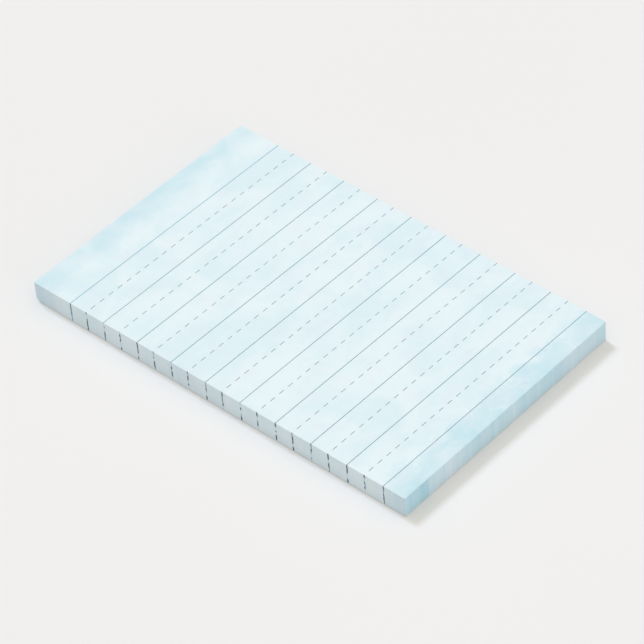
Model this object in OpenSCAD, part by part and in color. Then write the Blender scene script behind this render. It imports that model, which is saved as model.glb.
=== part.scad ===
// Ruled sticky note pad: a block of printed notes, glued along the header, on a release-coated backing sheet.
// +X runs along the rules to the reader's right, +Y runs up the page to the header, and +Z is up.
// The origin is the centre of the pad's footprint, on the surface that the pad lies on.

/* [Notes] */
// Width of a note, along the rules
note_w = 101.6; // [60:0.1:160]
// Length of a note, from its header edge to its foot edge
note_l = 152.4; // [120:0.1:210]
// Number of notes in the block
note_count = 90; // [40:1:120]
// Thickness of one note
note_t = 0.09; // [0.08:0.005:0.12]

/* [Backing] */
// Thickness of the release-coated backing sheet
backing_t = 0.35; // [0.2:0.05:0.6]

/* [Stack] */
// How far the pad's underside lies to the right of its top
lean = 0.7; // [-1.5:0.1:1.5]
// Depth of the rounding along the bottom of the header edge, where the lowest notes are drawn in
draw_in = 2.8; // [0.5:0.1:3.5]
// Height of that rounding
draw_h = 2.2; // [1:0.1:3.2]

/* [Ruling] */
// From the header edge to the first solid rule
header_margin = 16.1; // [8:0.1:30]
// From the last solid rule to the foot edge
foot_margin = 8; // [3:0.1:20]
// Number of solid rules, spread evenly between the margins
rule_count = 10; // [6:1:14]
// From a solid rule down to the dashed midline below it
midline_drop = 6.8; // [3:0.1:8]
// From one dash to the next
dash_pitch = 4.24; // [3:0.01:8]
// Length of a dash
dash_l = 2.12; // [0.8:0.01:2.8]
// From the left edge of the page to the middle of the first whole dash
dash_start = 3.36; // [1.5:0.01:5]
// Width of a printed line on the page
line_w = 0.24; // [0.15:0.01:0.5]
// Width of the mark that a line leaves down the cut edges, where its ink bleeds
tick_w = 0.36; // [0.2:0.01:0.8]
// Depth of the ink in the top note and in the cut edges
ink_depth = 0.05; // [0.03:0.01:0.07]
// Turn of the print against the trimmed page, in degrees
print_skew = -0.45; // [-1:0.05:1]

/* [Hidden] */

note_colour = "#DCEFF6";
backing_colour = "#EEECE6";
rule_colour = "#7C9EA9";
dash_colour = "#93A9B0";

pad_t = backing_t + note_count * note_t;
// Room that every cutting tool has beyond the pad
spare = 5;
reach_x = note_w / 2 + abs(lean) + spare;
reach_y = note_l / 2 + spare;
draw_steps = 8;

// Offset of the layer at height z from the middle of the lean, so that the footprint stays centred
function shift_x(z) = lean * (0.5 - z / pad_t);

// How far the header edge is drawn in at height z, along a quarter ellipse
function drawn(z) = z >= draw_h ? 0 : draw_in * (1 - sqrt(1 - pow(1 - z / draw_h, 2)));

// Places of the rules, up the page, and of the dashes, along a rule
rule_pitch = (note_l - header_margin - foot_margin) / (rule_count - 1);
function rule_y(i) = note_l / 2 - header_margin - i * rule_pitch;
function midline_y(i) = rule_y(i) - midline_drop;
// The row starts with the dash before the first whole one, which the trim at the left edge cuts
dash_count = ceil((note_w - dash_start) / dash_pitch) + 1;
function dash_x(k) = -note_w / 2 + dash_start + (k - 1) * dash_pitch;

// Prism along X from [y, z] points
module along_x(points, half) {
    rotate([90, 0, 90])
        linear_extrude(height = 2 * half, center = true)
            polygon(points);
}

// Prism along Y from [x, z] points
module along_y(points, half) {
    rotate([90, 0, 0])
        linear_extrude(height = 2 * half, center = true)
            polygon(points);
}

// Wall between x0 and x1 at mid height that leans with the stack, from height z0 to z1
module lean_wall(x0, x1, z0, z1, half) {
    along_y([
        [x0 + shift_x(z0), z0],
        [x1 + shift_x(z0), z0],
        [x1 + shift_x(z1), z1],
        [x0 + shift_x(z1), z1]
    ], half);
}

// Heights of the points along the rounding, from the backing sheet up to the straight part of the edge
draw_heights = [for (s = [0:draw_steps]) backing_t + (draw_h - backing_t) * s / draw_steps];

// Trimmed block of notes, with its leaning sides and its rounded header edge
module block() {
    header_edge = [for (z = concat(draw_heights, [pad_t])) [note_l / 2 - drawn(z), z]];
    intersection() {
        along_x(concat([[-note_l / 2, pad_t], [-note_l / 2, backing_t]], header_edge), reach_x);
        lean_wall(-note_w / 2, note_w / 2, backing_t, pad_t, reach_y);
    }
}

// Skin of the block that ink reaches on its top, without the two long sides
module top_skin() {
    lean_wall(-reach_x, reach_x, pad_t - ink_depth, pad_t + spare, reach_y);
}

// Skin of the block that ink reaches on its two long sides, with room beyond them
module side_skins() {
    lean_wall(-reach_x, ink_depth - note_w / 2, backing_t, pad_t + spare, reach_y);
    lean_wall(note_w / 2 - ink_depth, reach_x, backing_t, pad_t + spare, reach_y);
}

// Upright bands of width w for the printed lines at the heights up the page in ys
module bands(ys, w) {
    rotate([0, 0, print_skew])
        for (y = ys)
            translate([-reach_x - spare, y - w / 2, 0])
                cube([2 * (reach_x + spare), w, pad_t + spare]);
}

// Ink of lines across the page: thin over the top, and wider down the cut edges
module lines(ys) {
    intersection() {
        top_skin();
        bands(ys, line_w);
    }
    intersection() {
        side_skins();
        bands(ys, tick_w);
    }
}

rule_ys = [for (i = [0:rule_count - 1]) rule_y(i)];
midline_ys = [for (i = [0:rule_count - 2]) midline_y(i)];

module solid_lines() {
    lines(rule_ys);
}

module dashed_lines() {
    intersection() {
        lines(midline_ys);
        for (k = [0:dash_count - 1])
            lean_wall(dash_x(k) - dash_l / 2, dash_x(k) + dash_l / 2, 0, pad_t + spare, reach_y);
    }
}

// Block of notes, with the print sunk into its skin
module note_sheets() {
    color(note_colour)
        difference() {
            block();
            solid_lines();
            dashed_lines();
        }
}

// Backing sheet, cut square where the rounding passes its middle
module backing_sheet() {
    length = note_l - drawn(backing_t / 2);
    color(backing_colour)
        translate([0, (length - note_l) / 2, 0])
            lean_wall(-note_w / 2, note_w / 2, 0, backing_t, length / 2);
}

// Solid rules, each one over the top and down the cut edges of both long sides
module solid_rules() {
    color(rule_colour)
        intersection() {
            block();
            solid_lines();
        }
}

// Dashed midlines, with the ticks that the edge dashes leave on the cut edges
module dashed_rules() {
    color(dash_colour)
        intersection() {
            block();
            dashed_lines();
        }
}

note_sheets();
backing_sheet();
solid_rules();
dashed_rules();
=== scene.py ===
import math

import bpy
from mathutils import Matrix, Vector, noise


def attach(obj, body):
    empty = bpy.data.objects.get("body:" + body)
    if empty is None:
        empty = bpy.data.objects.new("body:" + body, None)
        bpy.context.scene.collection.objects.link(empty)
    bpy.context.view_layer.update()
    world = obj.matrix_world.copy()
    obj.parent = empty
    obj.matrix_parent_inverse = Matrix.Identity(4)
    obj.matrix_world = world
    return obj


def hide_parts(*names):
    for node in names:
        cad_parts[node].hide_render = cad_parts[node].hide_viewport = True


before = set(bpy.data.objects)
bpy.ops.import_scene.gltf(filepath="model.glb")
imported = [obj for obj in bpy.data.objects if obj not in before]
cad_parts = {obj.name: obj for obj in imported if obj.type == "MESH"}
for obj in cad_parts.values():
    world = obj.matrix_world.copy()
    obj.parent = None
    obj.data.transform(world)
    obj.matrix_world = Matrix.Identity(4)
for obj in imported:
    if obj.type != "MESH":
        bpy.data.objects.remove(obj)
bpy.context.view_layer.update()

MM = 0.001

# The pad's sizes, in millimetres, as in the part's source
NOTE_W = 101.6
NOTE_L = 152.4
NOTE_COUNT = 90
NOTE_T = 0.09
BACKING_T = 0.35
PAD_T = BACKING_T + NOTE_COUNT * NOTE_T
LEAN = 0.7
DRAW_IN = 2.8
DRAW_H = 2.2
HEADER_MARGIN = 16.1
FOOT_MARGIN = 8.0
RULE_COUNT = 10
RULE_PITCH = (NOTE_L - HEADER_MARGIN - FOOT_MARGIN) / (RULE_COUNT - 1)
MIDLINE_DROP = 6.8
PRINT_SKEW = math.radians(-0.45)

# The stack of notes: the divisions of its outline, the depth and half height of the groove between two notes,
# and how far the top face lies under the CAD block's, so that the printed inlays show
STEPS_X = 20
STEPS_Y = 30
GROOVE = 0.03
GROOVE_H = 0.012
TOP_SINK = 0.012

# How far the sheets' edges wander inside the trimmed block: in bundles, sheet by sheet,
# and more at the unglued foot
BUNDLE = 0.014
RAGGED = 0.010
LOOSE = 0.012

# The photograph's camera, in degrees and millimetres, with its focal length in pixels of the square picture
CAMERA_AZIMUTH = -50.060
CAMERA_ELEVATION = 42.891
CAMERA_ROLL = -0.302
CAMERA_TARGET = (0.15, -1.13, 0.0)
CAMERA_DISTANCE = 1170.6
FOCAL_PIXELS = 3658.1
PICTURE_PIXELS = 644
SENSOR_W = 36.0

# The floor is square. Its opening, in millimetres, lies just inside the backing sheet's outline.
FLOOR_HALF = 4.0
OPENING_X = (-50.2, 50.9)
OPENING_Y = (-75.9, 74.1)


def shift(z):
    """How far the layer at height z lies to the right of the middle of the lean."""
    return LEAN * (0.5 - z / PAD_T)


def drawn(z):
    """How far the header edge is drawn in at height z."""
    if z >= DRAW_H:
        return 0.0
    return DRAW_IN * (1 - math.sqrt(1 - (1 - z / DRAW_H) ** 2))


# ---------------------------------------------------------------- meshes

def outline(steps_x, steps_y):
    """Points round the page as (u, v) from 0 to 1, anticlockwise from the left end of the foot."""
    points = [(i / steps_x, 0.0) for i in range(steps_x)]
    points += [(1.0, i / steps_y) for i in range(steps_y)]
    points += [(1 - i / steps_x, 1.0) for i in range(steps_x)]
    points += [(0.0, 1 - i / steps_y) for i in range(steps_y)]
    return points


def inset(u, v, sheet, extra):
    """How far the edge of one sheet lies inside the trimmed block at (u, v), in millimetres."""
    here = Vector((u * 3.1, v * 4.3, sheet * 0.11))
    bundle = BUNDLE * (1 + noise.noise(here))
    ragged = RAGGED * (1 + noise.noise(Vector((u * 5.0, v * 7.0, sheet * 3.7 + 40))))
    loose = LOOSE * (1 - v) * (1 + noise.noise(Vector((u * 2.0, 9.0, sheet * 2.9))))
    return bundle + ragged + loose + extra


def place(u, v, z, sheet, extra):
    """The point of the stack at (u, v) and height z, with the sheet's own small offset."""
    d = inset(u, v, sheet, extra)
    low_x, high_x = -NOTE_W / 2 + d, NOTE_W / 2 - d
    low_y, high_y = -NOTE_L / 2 + d, NOTE_L / 2 - d - drawn(z)
    x = low_x + (high_x - low_x) * u + shift(z)
    y = low_y + (high_y - low_y) * v
    return Vector((x, y, z)) * MM


def new_piece(name, verts, faces, material):
    """A mesh object with one material."""
    mesh = bpy.data.meshes.new(name)
    mesh.from_pydata(verts, [], faces)
    mesh.update()
    obj = bpy.data.objects.new(name, mesh)
    bpy.context.scene.collection.objects.link(obj)
    mesh.materials.append(material)
    return obj


def build_stack(material):
    """The notes as one closed skin: each note has its own trimmed edge, with a fine groove to the next."""
    ring = outline(STEPS_X, STEPS_Y)
    verts, faces, rows = [], [], []

    def add_row(z, sheet, extra):
        rows.append(len(verts))
        verts.extend(place(u, v, z, sheet, extra) for u, v in ring)

    for sheet in range(NOTE_COUNT):
        z = BACKING_T + sheet * NOTE_T
        add_row(z, sheet, GROOVE)
        add_row(z + GROOVE_H, sheet, 0)
        add_row(z + NOTE_T - GROOVE_H, sheet, 0)
    top_z = PAD_T - TOP_SINK
    verts[rows[-1]:] = [place(u, v, top_z, NOTE_COUNT - 1, 0) for u, v in ring]

    count = len(ring)
    for low, high in zip(rows, rows[1:]):
        for i in range(count):
            j = (i + 1) % count
            faces.append((low + i, low + j, high + j, high + i))

    add_sheet_face(verts, faces, rows[-1], ring, top_z, NOTE_COUNT - 1, 0, True)
    add_sheet_face(verts, faces, rows[0], ring, BACKING_T, 0, GROOVE, False)
    return new_piece("note_stack", verts, faces, material)


def add_sheet_face(verts, faces, row, ring, z, sheet, extra, up):
    """A grid of squares that closes the ring, shared with its points."""
    index = {(round(u * STEPS_X), round(v * STEPS_Y)): row + i for i, (u, v) in enumerate(ring)}
    for i in range(1, STEPS_X):
        for j in range(1, STEPS_Y):
            index[(i, j)] = len(verts)
            verts.append(place(i / STEPS_X, j / STEPS_Y, z, sheet, extra))
    for i in range(STEPS_X):
        for j in range(STEPS_Y):
            face = (index[(i, j)], index[(i + 1, j)], index[(i + 1, j + 1)], index[(i, j + 1)])
            faces.append(face if up else face[::-1])


# ---------------------------------------------------------------- materials

def linear(r, g, b):
    """An sRGB colour of 0 to 255 as Blender's linear colour."""
    def one(c):
        c /= 255
        return c / 12.92 if c <= 0.04045 else ((c + 0.055) / 1.055) ** 2.4
    return one(r), one(g), one(b), 1.0


class Nodes:
    """Short names for the nodes that the materials are built from."""

    def __init__(self, tree):
        self.tree = tree
        tree.nodes.clear()

    def add(self, kind, **settings):
        node = self.tree.nodes.new(kind)
        for key, value in settings.items():
            setattr(node, key, value)
        return node

    def put(self, socket, value):
        if isinstance(value, bpy.types.NodeSocket):
            self.tree.links.new(value, socket)
        else:
            socket.default_value = value

    def math(self, operation, a, b=0.0, c=0.0):
        node = self.add("ShaderNodeMath", operation=operation)
        for socket, value in zip(node.inputs, (a, b, c)):
            self.put(socket, value)
        return node.outputs[0]

    def ramp(self, value, low, high, to_low=0.0, to_high=1.0):
        """A smooth step of value from low to high."""
        node = self.add("ShaderNodeMapRange", interpolation_type="SMOOTHSTEP")
        for socket, number in zip(node.inputs, (value, low, high, to_low, to_high)):
            self.put(socket, number)
        return node.outputs[0]

    def combine(self, x, y, z):
        node = self.add("ShaderNodeCombineXYZ")
        for socket, value in zip(node.inputs, (x, y, z)):
            self.put(socket, value)
        return node.outputs[0]

    def noise(self, vector, scale, detail=4.0, roughness=0.5, distortion=0.0):
        node = self.add("ShaderNodeTexNoise", noise_dimensions="3D")
        self.put(node.inputs["Vector"], vector)
        node.inputs["Scale"].default_value = scale
        node.inputs["Detail"].default_value = detail
        node.inputs["Roughness"].default_value = roughness
        node.inputs["Distortion"].default_value = distortion
        return node.outputs["Fac"]

    def mix(self, factor, a, b):
        node = self.add("ShaderNodeMix", data_type="RGBA")
        self.put(node.inputs["Factor"], factor)
        self.put(node.inputs["A"], a)
        self.put(node.inputs["B"], b)
        return node.outputs["Result"]

    def bump(self, height, distance):
        node = self.add("ShaderNodeBump")
        self.put(node.inputs["Height"], height)
        node.inputs["Distance"].default_value = distance
        node.inputs["Strength"].default_value = 1.0
        return node.outputs[0]

    def place_mm(self):
        """Object position in millimetres, as x, y and z."""
        coords = self.add("ShaderNodeTexCoord")
        scale = self.add("ShaderNodeVectorMath", operation="SCALE")
        self.put(scale.inputs[0], coords.outputs["Object"])
        scale.inputs["Scale"].default_value = 1 / MM
        split = self.add("ShaderNodeSeparateXYZ")
        self.put(split.inputs[0], scale.outputs[0])
        return split.outputs[0], split.outputs[1], split.outputs[2]

    def normal(self):
        """The surface's normal, as x, y and z."""
        geometry = self.add("ShaderNodeNewGeometry")
        split = self.add("ShaderNodeSeparateXYZ")
        self.put(split.inputs[0], geometry.outputs["Normal"])
        return split.outputs[0], split.outputs[1], split.outputs[2]

    def page(self, x, y, z):
        """Position on the page, with the stack's lean taken out."""
        up = self.math("SUBTRACT", self.math("DIVIDE", z, PAD_T), 0.5)
        return self.math("MULTIPLY_ADD", up, LEAN, x), y

    def finish(self, colour, roughness, normal, specular):
        """The surface's shader and the material's output."""
        shader = self.add("ShaderNodeBsdfPrincipled")
        self.put(shader.inputs["Base Color"], colour)
        self.put(shader.inputs["Roughness"], roughness)
        shader.inputs["Specular IOR Level"].default_value = specular
        if normal is not None:
            self.put(shader.inputs["Normal"], normal)
        output = self.add("ShaderNodeOutputMaterial")
        self.tree.links.new(shader.outputs[0], output.inputs[0])


def new_material(name):
    """An empty material, with the short names for its nodes."""
    material = bpy.data.materials.new(name)
    material.use_nodes = True
    return material, Nodes(material.node_tree)


def pool(n, px, py, warp, centre, size, soft):
    """A pool of wash round a centre: 1 inside and 0 outside, with an uneven edge."""
    dx = n.math("DIVIDE", n.math("SUBTRACT", px, centre[0]), size[0])
    dy = n.math("DIVIDE", n.math("SUBTRACT", py, centre[1]), size[1])
    squares = n.math("ADD", n.math("MULTIPLY", dx, dx), n.math("MULTIPLY", dy, dy))
    away = n.math("SQRT", squares)
    away = n.math("MULTIPLY_ADD", n.math("SUBTRACT", warp, 0.5), 1.6, away)
    return n.ramp(away, 1.0 + soft, 1.0 - soft)


def wash(n, px, py):
    """Density of the pale blue wash printed on a note, from 0 to about 1, at a place on the page."""
    flat = n.combine(n.math("MULTIPLY", px, 0.75), py, 0.0)
    clouds = n.noise(flat, 0.055, 4.0, 0.52, 0.8)
    mottle = n.noise(flat, 0.32, 4.0, 0.6, 0.3)
    ragged = n.noise(n.combine(px, py, 12.0), 0.11, 5.0, 0.62, 0.7)
    patches = n.noise(n.combine(px, py, 31.0), 0.060, 3.0, 0.5, 0.5)

    density = n.ramp(clouds, 0.34, 0.66, 0.0, 0.18)
    density = n.math("MULTIPLY_ADD", n.math("SUBTRACT", mottle, 0.5), 0.20, density)

    # Bluer bands along the header and the foot, with cloudy inner edges
    header_edge = n.math("MULTIPLY_ADD", n.math("SUBTRACT", ragged, 0.5), 7.0, py)
    header = n.ramp(header_edge, 65.0, 74.5)
    header = n.math("MULTIPLY", header, n.ramp(patches, 0.36, 0.60, 0.17, 0.36))
    foot_edge = n.math("MULTIPLY_ADD", n.math("SUBTRACT", ragged, 0.5), 20.0, py)
    foot = n.ramp(foot_edge, -65.0, -71.0)
    foot = n.math("MULTIPLY", foot, n.ramp(patches, 0.36, 0.60, 0.20, 0.33))
    density = n.math("ADD", density, n.math("ADD", header, foot))

    # Pools of wash at the near corner and along the foot, as the brush left them
    corner_pools = n.math("ADD", pool(n, px, py, ragged, (-42.0, -78.0), (4.5, 5.5), 0.60),
                          pool(n, px, py, ragged, (-50.0, -78.0), (4.0, 4.5), 0.55))
    foot_pools = n.math("ADD", pool(n, px, py, ragged, (-12.0, -78.0), (9.0, 6.0), 0.35),
                        pool(n, px, py, ragged, (28.0, -79.0), (6.0, 5.0), 0.35))
    density = n.math("MULTIPLY_ADD", corner_pools, 0.21, density)
    density = n.math("MULTIPLY_ADD", foot_pools, 0.11, density)

    # Pale wisps between the pools, and faint dried rims, as a wet wash leaves
    line = n.math("ABSOLUTE", n.math("SUBTRACT", n.noise(flat, 0.085, 4.0, 0.55, 1.1), 0.5))
    wisp = n.math("MULTIPLY", n.ramp(line, 0.030, 0.0), n.ramp(py, -58.0, -70.0))
    density = n.math("MULTIPLY_ADD", wisp, -0.13, density)
    rim = n.math("ABSOLUTE", n.math("SUBTRACT", n.noise(flat, 0.04, 3.0, 0.5, 1.0), 0.48))
    rim = n.math("MULTIPLY", n.ramp(rim, 0.010, 0.0), n.ramp(py, 52.0, 60.0))
    return n.math("MULTIPLY_ADD", rim, 0.055, density)


def beads(n, py, z):
    """Where the marks on the cut edges are broken, since the notes lie out of step: 0 on a mark, 1 in a gap."""
    here = n.combine(0.0, n.math("MULTIPLY", py, 0.9), n.math("MULTIPLY", z, 0.48))
    breaks = n.noise(here, 1.0, 1.0, 0.5)
    return n.ramp(breaks, 0.485, 0.545)


def bleed(n, px, py, z):
    """How much ink has crept into the cut edges beside the marks of the rules and midlines."""
    down = n.math("SUBTRACT", NOTE_L / 2 - HEADER_MARGIN, py)
    down = n.math("MULTIPLY_ADD", px, math.tan(PRINT_SKEW), down)
    amount = 0.0
    for drop in (0.0, MIDLINE_DROP):
        turns = n.math("DIVIDE", n.math("SUBTRACT", down, drop), RULE_PITCH)
        away = n.math("ABSOLUTE", n.math("SUBTRACT", turns, n.math("ROUND", turns)))
        amount = n.math("MAXIMUM", amount, n.ramp(away, 0.42 / RULE_PITCH, 0.16 / RULE_PITCH))
    last = (RULE_COUNT - 1) * RULE_PITCH
    printed = n.math("MULTIPLY", n.ramp(down, -0.6, -0.5), n.ramp(down, last + 0.6, last + 0.5))
    marked = n.math("SUBTRACT", 1.0, beads(n, py, z))
    return n.math("MULTIPLY", n.math("MULTIPLY", amount, printed), marked)


# Where the pools of wash run off the foot edge: the middle of each, its half width and its strength
FOOT_POOLS = [(-48.0, 3.2, 0.12), (-41.4, 1.9, 0.50), (-11.0, 4.2, 0.09), (27.0, 2.0, 0.07)]


def note_paper():
    """Uncoated paper with the printed wash, on the top note and on the trimmed edges of the stack."""
    material, n = new_material("note_paper")
    x, y, z = n.place_mm()
    px, py = n.page(x, y, z)
    nx, ny, nz = n.normal()
    edge = n.ramp(nz, 0.75, 0.45)
    foot_side = n.ramp(ny, -0.4, -0.8)
    long_side = n.ramp(n.math("ABSOLUTE", nx), 0.5, 0.9)

    # Each note sits a little off the one below, so the wash on the cut edge is ragged from note to note
    layer = n.math("FLOOR", n.math("DIVIDE", n.math("SUBTRACT", z, BACKING_T), NOTE_T))
    jitter = n.add("ShaderNodeTexWhiteNoise", noise_dimensions="1D")
    n.put(jitter.inputs["W"], layer)
    off = n.math("MULTIPLY", n.math("SUBTRACT", jitter.outputs["Value"], 0.5), 0.25)
    off = n.math("MULTIPLY", off, edge)
    wx, wy = n.math("ADD", px, off), n.math("ADD", py, off)
    density = n.math("MULTIPLY", wash(n, wx, wy), n.math("MULTIPLY_ADD", long_side, -0.35, 1.0))

    # On the cut edge the ink gathers in upright streaks, most of all along the foot
    along = n.combine(wx, wy, 5.0)
    grouped = n.ramp(n.noise(along, 0.17, 2.0, 0.5), 0.42, 0.56, 0.25, 1.0)
    fine = n.math("MULTIPLY", n.ramp(n.noise(along, 1.9, 2.0, 0.6), 0.50, 0.60, -0.06, 0.30), grouped)
    middle = n.ramp(n.noise(along, 0.42, 2.0, 0.5), 0.50, 0.62, -0.04, 0.08)
    broad = n.ramp(n.noise(along, 0.13, 2.0, 0.5), 0.55, 0.62, 0.0, 0.11)
    streaks = n.math("ADD", fine, n.math("ADD", middle, broad))
    for centre, half, depth in FOOT_POOLS:
        away = n.math("ABSOLUTE", n.math("SUBTRACT", wx, centre))
        streaks = n.math("ADD", streaks, n.ramp(away, half * 1.2, half * 0.8, 0.0, depth))
    streaks = n.math("MULTIPLY", streaks, n.math("MULTIPLY_ADD", foot_side, 0.85, 0.15))
    density = n.math("MULTIPLY_ADD", streaks, edge, density)

    light = linear(232, 245.4, 249)
    deep = linear(170, 219, 231)
    colour = n.mix(density, light, deep)

    # Small patches of the wash lean towards lilac
    hue = n.noise(n.combine(n.math("MULTIPLY", wx, 0.8), wy, 57.0), 0.16, 3.0, 0.55, 0.5)
    colour = n.mix(n.ramp(hue, 0.46, 0.66, 0.0, 0.12), colour, linear(229, 226, 240))

    # Ink creeps from the marks into the cut edges of the two long sides
    crept = n.math("MULTIPLY", bleed(n, px, py, z), long_side)
    colour = n.mix(n.math("MULTIPLY", crept, 0.62), colour, linear(52, 92, 112))

    # Cut fibres scatter less light between the notes, with a little random tone from note to note. On the cut
    # edges the top few notes get a painted highlight, and the lowest 5 mm get painted shade, darker towards the
    # floor
    fibre_tone_and_painted_light = n.math("MULTIPLY_ADD", jitter.outputs["Value"], 0.03, 0.975)
    # Painted highlight: the cut edges of the top few notes are made lighter
    fibre_tone_and_painted_light = n.math("ADD", fibre_tone_and_painted_light, n.ramp(z, PAD_T - 0.6, PAD_T - 0.1, 0.0, 0.06))
    # Painted shade: the cut edges darken towards the floor over the lowest 5 mm
    fibre_tone_and_painted_light = n.math("ADD", fibre_tone_and_painted_light, n.ramp(z, 0.0, 5.0, -0.05, 0.0))
    fibre_tone_and_painted_light = n.math("MULTIPLY_ADD", n.math("SUBTRACT", fibre_tone_and_painted_light, 1.0), edge, 1.0)
    cool = n.math("MULTIPLY", foot_side, 0.008)
    tone = n.combine(fibre_tone_and_painted_light, n.math("ADD", n.math("MULTIPLY_ADD", edge, -0.010, fibre_tone_and_painted_light), cool),
                     n.math("ADD", n.math("MULTIPLY_ADD", edge, 0.018, fibre_tone_and_painted_light), cool))
    toned = n.add("ShaderNodeMix", data_type="RGBA", blend_type="MULTIPLY")
    toned.inputs["Factor"].default_value = 1.0
    n.put(toned.inputs["A"], colour)
    n.put(toned.inputs["B"], tone)

    place = n.combine(x, y, z)
    grain = n.noise(place, 6.0, 3.0, 0.6)
    fibres = n.noise(n.combine(x, n.math("MULTIPLY", y, 0.3), z), 3.0, 4.0, 0.7, 0.6)
    height = n.math("ADD", grain, fibres)
    roughness = n.ramp(grain, 0.3, 0.7, 0.82, 0.94)
    n.finish(toned.outputs["Result"], roughness, n.bump(height, 0.006 * MM), 0.15)
    return material


def ink(name, face, alternate, cut):
    """Printed ink: one tone that drifts to another on the page, and a darker one on the cut edges."""
    material, n = new_material(name)
    x, y, z = n.place_mm()
    px, py = n.page(x, y, z)
    edge = n.ramp(n.normal()[2], 0.75, 0.45)

    # The first rule is bluer than the others
    drift = n.ramp(n.noise(n.combine(px, py, 3.0), 0.035, 2.0, 0.5), 0.40, 0.60)
    first_y = NOTE_L / 2 - HEADER_MARGIN
    first = n.ramp(py, first_y - 4.0, first_y - 1.0)
    colour = n.mix(drift, face, alternate)
    colour = n.mix(first, colour, linear(104, 174, 190))

    # Ink misses some of the paper's fibres
    speck = n.ramp(n.noise(n.combine(x, y, z), 5.0, 3.0, 0.7), 0.35, 0.65, 0.0, 0.25)
    colour = n.mix(speck, colour, linear(214, 234, 240))

    # Down the cut edges the marks of the notes join into a dark line, broken where notes lie out of step
    side = n.mix(n.math("MULTIPLY", beads(n, py, z), 0.92), cut, linear(218, 236, 242))
    side = n.mix(n.math("MULTIPLY", first, 0.75), side, linear(86, 150, 168))
    colour = n.mix(edge, colour, side)
    n.finish(colour, n.ramp(speck, 0.0, 0.25, 0.6, 0.85), None, 0.2)
    return material


def backing_paper():
    """Release-coated backing: smooth, a little yellower and glossier than the notes."""
    material, n = new_material("backing_paper")
    x, y, z = n.place_mm()
    place = n.combine(x, y, z)
    cloud = n.noise(place, 0.12, 4.0, 0.55, 0.3)
    fibres = n.noise(n.combine(x, n.math("MULTIPLY", y, 0.35), z), 2.2, 4.0, 0.7, 0.5)
    colour = n.mix(n.ramp(cloud, 0.35, 0.65), linear(214, 222, 222), linear(206, 215, 216))
    colour = n.mix(n.ramp(fibres, 0.55, 0.75, 0.0, 0.3), colour, linear(192, 202, 204))
    roughness = n.ramp(cloud, 0.3, 0.7, 0.42, 0.55)
    n.finish(colour, roughness, n.bump(fibres, 0.008 * MM), 0.35)
    return material


def floor_surface():
    """Plain pale matt floor."""
    material, n = new_material("pale_floor")
    x, y, z = n.place_mm()
    cloud = n.noise(n.combine(x, y, z), 0.004, 2.0, 0.5)
    colour = n.mix(n.ramp(cloud, 0.3, 0.7), linear(239.5, 239, 238), linear(240.5, 240, 239))
    n.finish(colour, 0.9, None, 0.0)
    return material


# ---------------------------------------------------------------- stage

def build_floor():
    """A wide floor, open right under the pad, so that light and views from below reach its underside."""
    half = FLOOR_HALF
    left, right = (x * MM for x in OPENING_X)
    foot, header = (y * MM for y in OPENING_Y)
    outer = [(-half, -half, 0), (half, -half, 0), (half, half, 0), (-half, half, 0)]
    inner = [(left, foot, 0), (right, foot, 0), (right, header, 0), (left, header, 0)]
    faces = [(i, (i + 1) % 4, (i + 1) % 4 + 4, i + 4) for i in range(4)]
    floor = new_piece("floor", outer + inner, faces, floor_surface())


def add_sun(name, energy, angle, colour, towards, shadow):
    """A sun lamp that stands in the direction towards, with its disc angle degrees wide."""
    data = bpy.data.lights.new(name, "SUN")
    data.use_shadow = shadow
    data.energy = energy
    data.angle = math.radians(angle)
    data.color = colour
    lamp = bpy.data.objects.new(name, data)
    lamp.rotation_euler = Vector(towards).to_track_quat("Z", "Y").to_euler()
    bpy.context.scene.collection.objects.link(lamp)


def build_lights():
    """A soft key from the header side and a low shadowless fill from the foot."""
    add_sun("key", 0.87, 15, (0.88, 1.04, 1.30), (0.2, 5.2, 8.4), True)
    add_sun("fill", 0.42, 40, (1.0, 0.98, 1.10), (-0.20, -1.0, 0.17), False)


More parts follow.
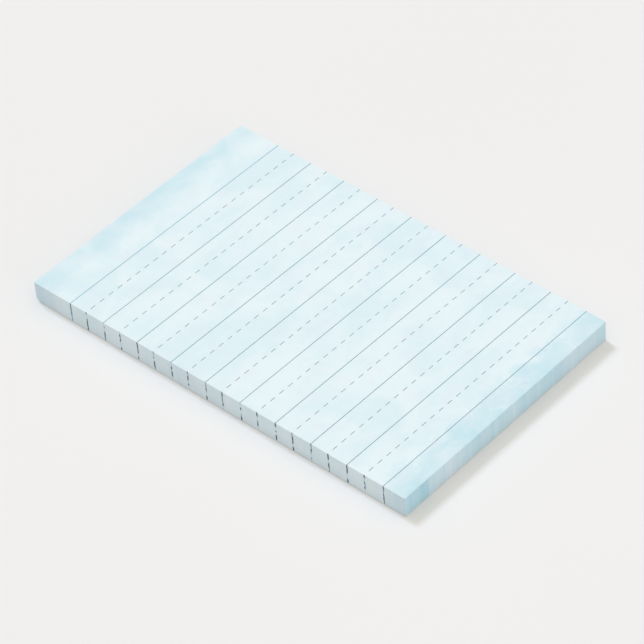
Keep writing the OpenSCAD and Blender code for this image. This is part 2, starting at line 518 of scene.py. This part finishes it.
def build_world():
    """A dome of soft light, brightest overhead and below, behind which a plain pale backdrop shows."""
    world = bpy.data.worlds.new("studio")
    bpy.context.scene.world = world
    world.use_nodes = True
    n = Nodes(world.node_tree)
    coords = n.add("ShaderNodeTexCoord")
    split = n.add("ShaderNodeSeparateXYZ")
    n.put(split.inputs[0], coords.outputs["Generated"])
    level = n.math("MULTIPLY_ADD", n.math("ABSOLUTE", split.outputs[2]), 0.910, 0.15)
    level = n.math("MULTIPLY_ADD", split.outputs[0], -0.10, level)
    level = n.math("MULTIPLY_ADD", split.outputs[1], -0.09, level)
    level = n.math("MAXIMUM", level, 0.0)
    path = n.add("ShaderNodeLightPath")
    seen = n.math("MAXIMUM", path.outputs["Is Camera Ray"], path.outputs["Is Glossy Ray"])
    seen = n.math("MAXIMUM", seen, path.outputs["Is Transmission Ray"])
    dome = n.add("ShaderNodeBackground")
    dome.inputs["Color"].default_value = (1.022, 0.968, 0.882, 1.0)
    n.put(dome.inputs["Strength"], level)
    backdrop = n.add("ShaderNodeBackground")
    backdrop.inputs["Color"].default_value = linear(240, 240, 239)
    backdrop.inputs["Strength"].default_value = 1.0
    choose = n.add("ShaderNodeMixShader")
    n.put(choose.inputs[0], seen)
    n.put(choose.inputs[1], dome.outputs[0])
    n.put(choose.inputs[2], backdrop.outputs[0])
    output = n.add("ShaderNodeOutputWorld")
    n.put(output.inputs[0], choose.outputs[0])


def build_camera():
    """The photograph's view, from the near left, looking down at about 43 degrees."""
    azimuth = math.radians(CAMERA_AZIMUTH)
    elevation = math.radians(CAMERA_ELEVATION)
    roll = math.radians(CAMERA_ROLL)
    back = Vector((
        math.sin(azimuth) * math.cos(elevation),
        -math.cos(azimuth) * math.cos(elevation),
        math.sin(elevation),
    ))
    right = Vector((math.cos(azimuth), math.sin(azimuth), 0.0))
    up = back.cross(right)
    turned_right = right * math.cos(roll) + up * math.sin(roll)
    turned_up = up * math.cos(roll) - right * math.sin(roll)
    data = bpy.data.cameras.new("camera")
    data.sensor_width = SENSOR_W
    data.lens = FOCAL_PIXELS / PICTURE_PIXELS * SENSOR_W
    data.clip_start = 0.05
    data.clip_end = 50.0
    camera = bpy.data.objects.new("camera", data)
    axes = Matrix((turned_right, turned_up, back)).transposed()
    place = Vector(CAMERA_TARGET) * MM + back * (CAMERA_DISTANCE * MM)
    camera.matrix_world = Matrix.Translation(place) @ axes.to_4x4()
    bpy.context.scene.collection.objects.link(camera)
    bpy.context.scene.camera = camera


def dress(node, material):
    """Gives a CAD node its material, in place of the plain one."""
    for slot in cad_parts[node].material_slots:
        slot.material = material


def main():
    bpy.context.scene.view_settings.view_transform = "Standard"
    build_camera()
    build_lights()
    build_world()
    build_floor()

    stack = build_stack(note_paper())
    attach(stack, "root")
    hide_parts("note_sheets")
    rule_ink = ink("rule_ink", linear(107, 142, 150), linear(90, 148, 160), linear(20, 54, 74))
    dash_ink = ink("dash_ink", linear(116, 142, 148), linear(128, 152, 157), linear(20, 52, 72))
    dress("solid_rules", rule_ink)
    dress("dashed_rules", dash_ink)
    dress("backing_sheet", backing_paper())


main()
